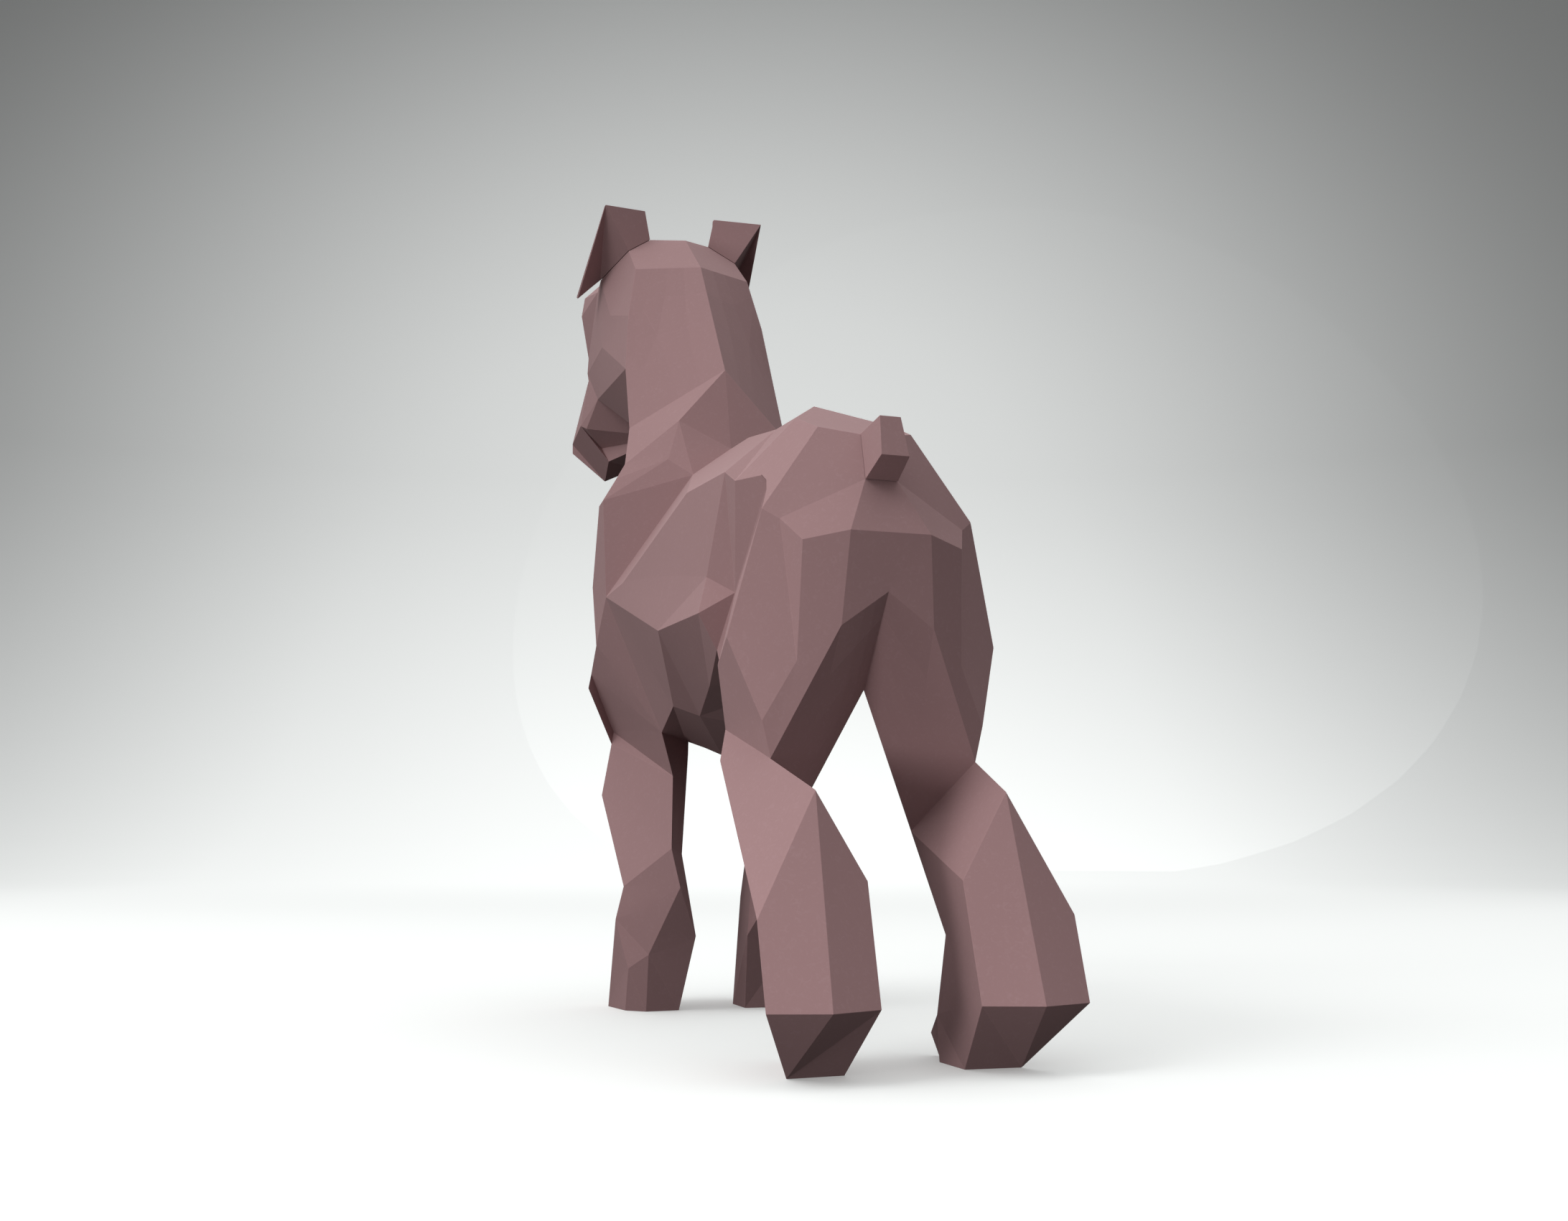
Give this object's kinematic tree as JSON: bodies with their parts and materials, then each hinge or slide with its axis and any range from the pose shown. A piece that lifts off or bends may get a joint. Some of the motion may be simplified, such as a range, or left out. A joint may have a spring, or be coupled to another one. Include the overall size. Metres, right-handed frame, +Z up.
{
  "type": "papercraft dog",
  "caption": "Faceted standing terrier folded and glued from matte card, with drop ears, square bearded muzzle, feathered legs and a docked tail.",
  "frame": {"origin": "on the floor, under the middle of the figure's overall box", "axes": "+Z up, +X towards the dog's left, +Y from the nose to the tail"},
  "size_m": [0.126, 0.472, 0.45],
  "materials": {
    "rose_card": "matte dusty-rose craft card, folded and glued"
  },
  "bodies": {
    "root": {"dog_shell": "rose_card", "ear_left": "rose_card", "ear_right": "rose_card", "tail": "rose_card"}
  },
  "joints": []
}
